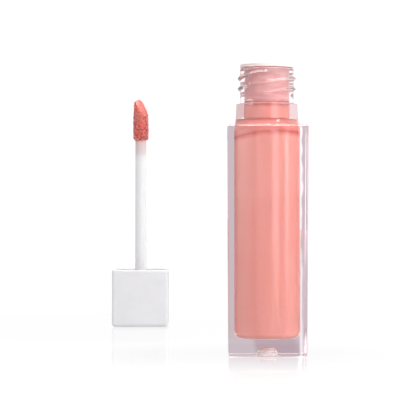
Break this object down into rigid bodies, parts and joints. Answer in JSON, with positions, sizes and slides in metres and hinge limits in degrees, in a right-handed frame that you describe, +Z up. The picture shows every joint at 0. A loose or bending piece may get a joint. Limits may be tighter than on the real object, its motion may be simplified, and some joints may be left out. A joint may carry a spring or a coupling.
{
  "type": "lip gloss tube",
  "caption": "Square clear bottle of lip gloss with a threaded neck and wiper, and its screw cap with wand and flocked doe-foot tip standing upside down beside it.",
  "frame": {"origin": "centre of the bottle's base, on the surface it stands on", "axes": "+Z up along the bottle's axis to its mouth, +X to the right and +Y to the back; the applicator stands behind and to the left"},
  "size_m": [0.0477, 0.1146, 0.0636],
  "materials": {
    "clear_plastic": "clear, polished",
    "gloss": "wet, creamy",
    "wiper_plastic": "translucent, satin",
    "cap_plastic": "satin",
    "gasket_foam": "matte",
    "wand_plastic": "translucent, smooth",
    "tip_elastomer": "matte",
    "flock": "short fibre, wet with gloss"
  },
  "bodies": {
    "bottle": {"bottle": "clear_plastic", "gloss_fill": "gloss", "wiper": "wiper_plastic"},
    "gasket": {"cap_gasket": "gasket_foam"},
    "applicator": {"cap": "cap_plastic", "wand_rod": "wand_plastic", "tip_core": "tip_elastomer", "tip_flock": "flock"}
  },
  "joints": [
    {"name": "applicator_lift", "type": "slide", "parent": "bottle", "child": "gasket", "axis": [0, 0, 1], "range_m": [0, 0.058]},
    {"name": "cap_turn", "type": "hinge", "parent": "gasket", "child": "applicator", "pos_m": [-0.03145, 0.09835, 0], "axis": [0, 0, -1], "range_deg": [0, 378]}
  ]
}
